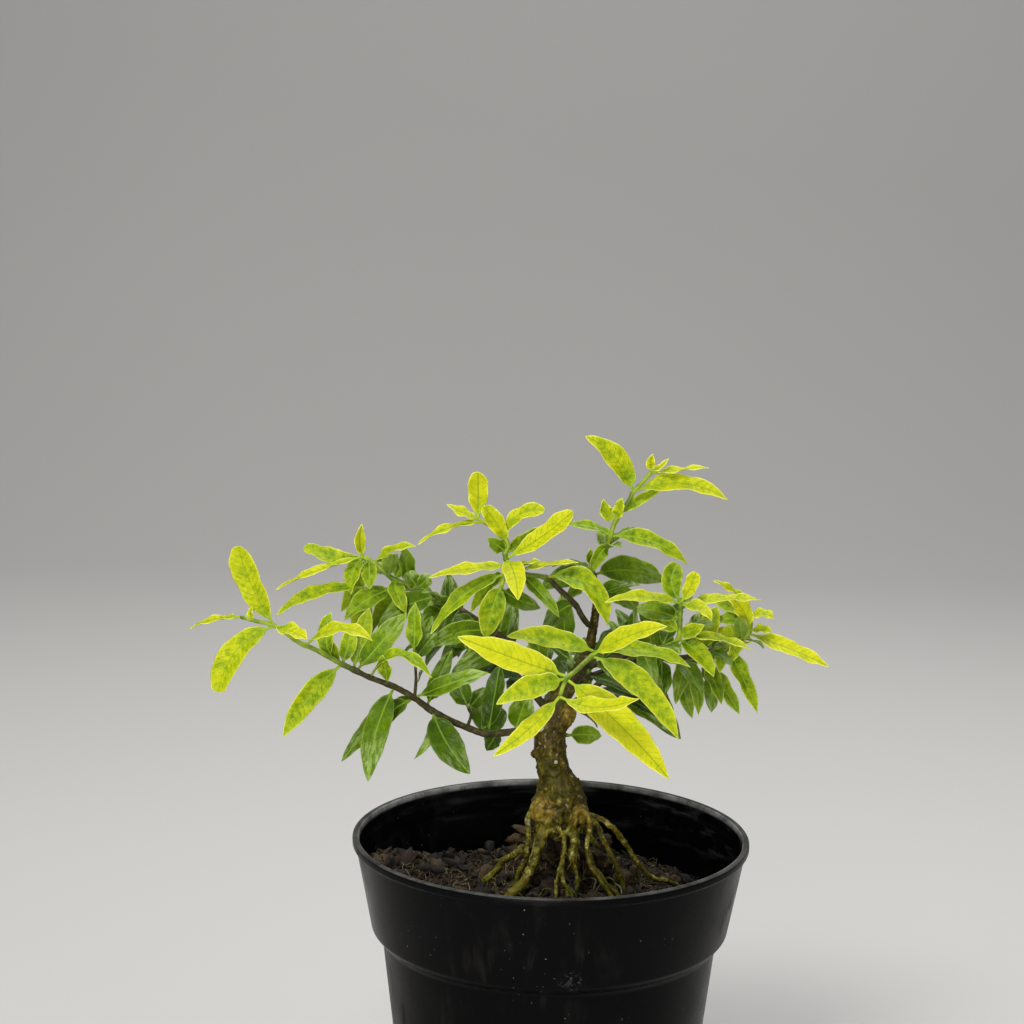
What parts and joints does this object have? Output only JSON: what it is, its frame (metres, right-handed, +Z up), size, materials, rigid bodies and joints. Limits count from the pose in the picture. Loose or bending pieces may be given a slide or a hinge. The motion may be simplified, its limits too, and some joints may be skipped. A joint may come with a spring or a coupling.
{
  "type": "potted bonsai",
  "caption": "Small young bonsai with a short knobbly trunk on exposed spreading roots, long narrow wavy leaves on spreading branches, planted in a round black plastic nursery pot.",
  "frame": {"origin": "middle of the pot's foot, on the plane that the pot stands on", "axes": "+Z up along the pot's axis, -Y towards the viewer of the pictured side, +X to that viewer's right"},
  "size_m": [0.1618, 0.1099, 0.1911],
  "materials": {
    "black_plastic": "thin black moulded plastic with a low sheen, scuffed and dusty",
    "potting_mix": "moist dark crumbs of bark and humus",
    "bark": "rough living bark, olive and brown",
    "leaf": "living leaf, satin, yellow-green when young and deep green when older"
  },
  "bodies": {
    "root": {"pot": "black_plastic", "soil": "potting_mix", "wood": "bark", "branch_left": "leaf", "branch_upper_left": "leaf", "branch_top_centre": "leaf", "branch_top_right": "leaf", "branch_right": "leaf", "branch_right_tip": "leaf", "branch_right_low": "leaf", "branch_front": "leaf", "branch_back_left": "leaf", "branch_back_mid": "leaf", "branch_back_right": "leaf", "leaf_trunk": "leaf"}
  },
  "joints": []
}
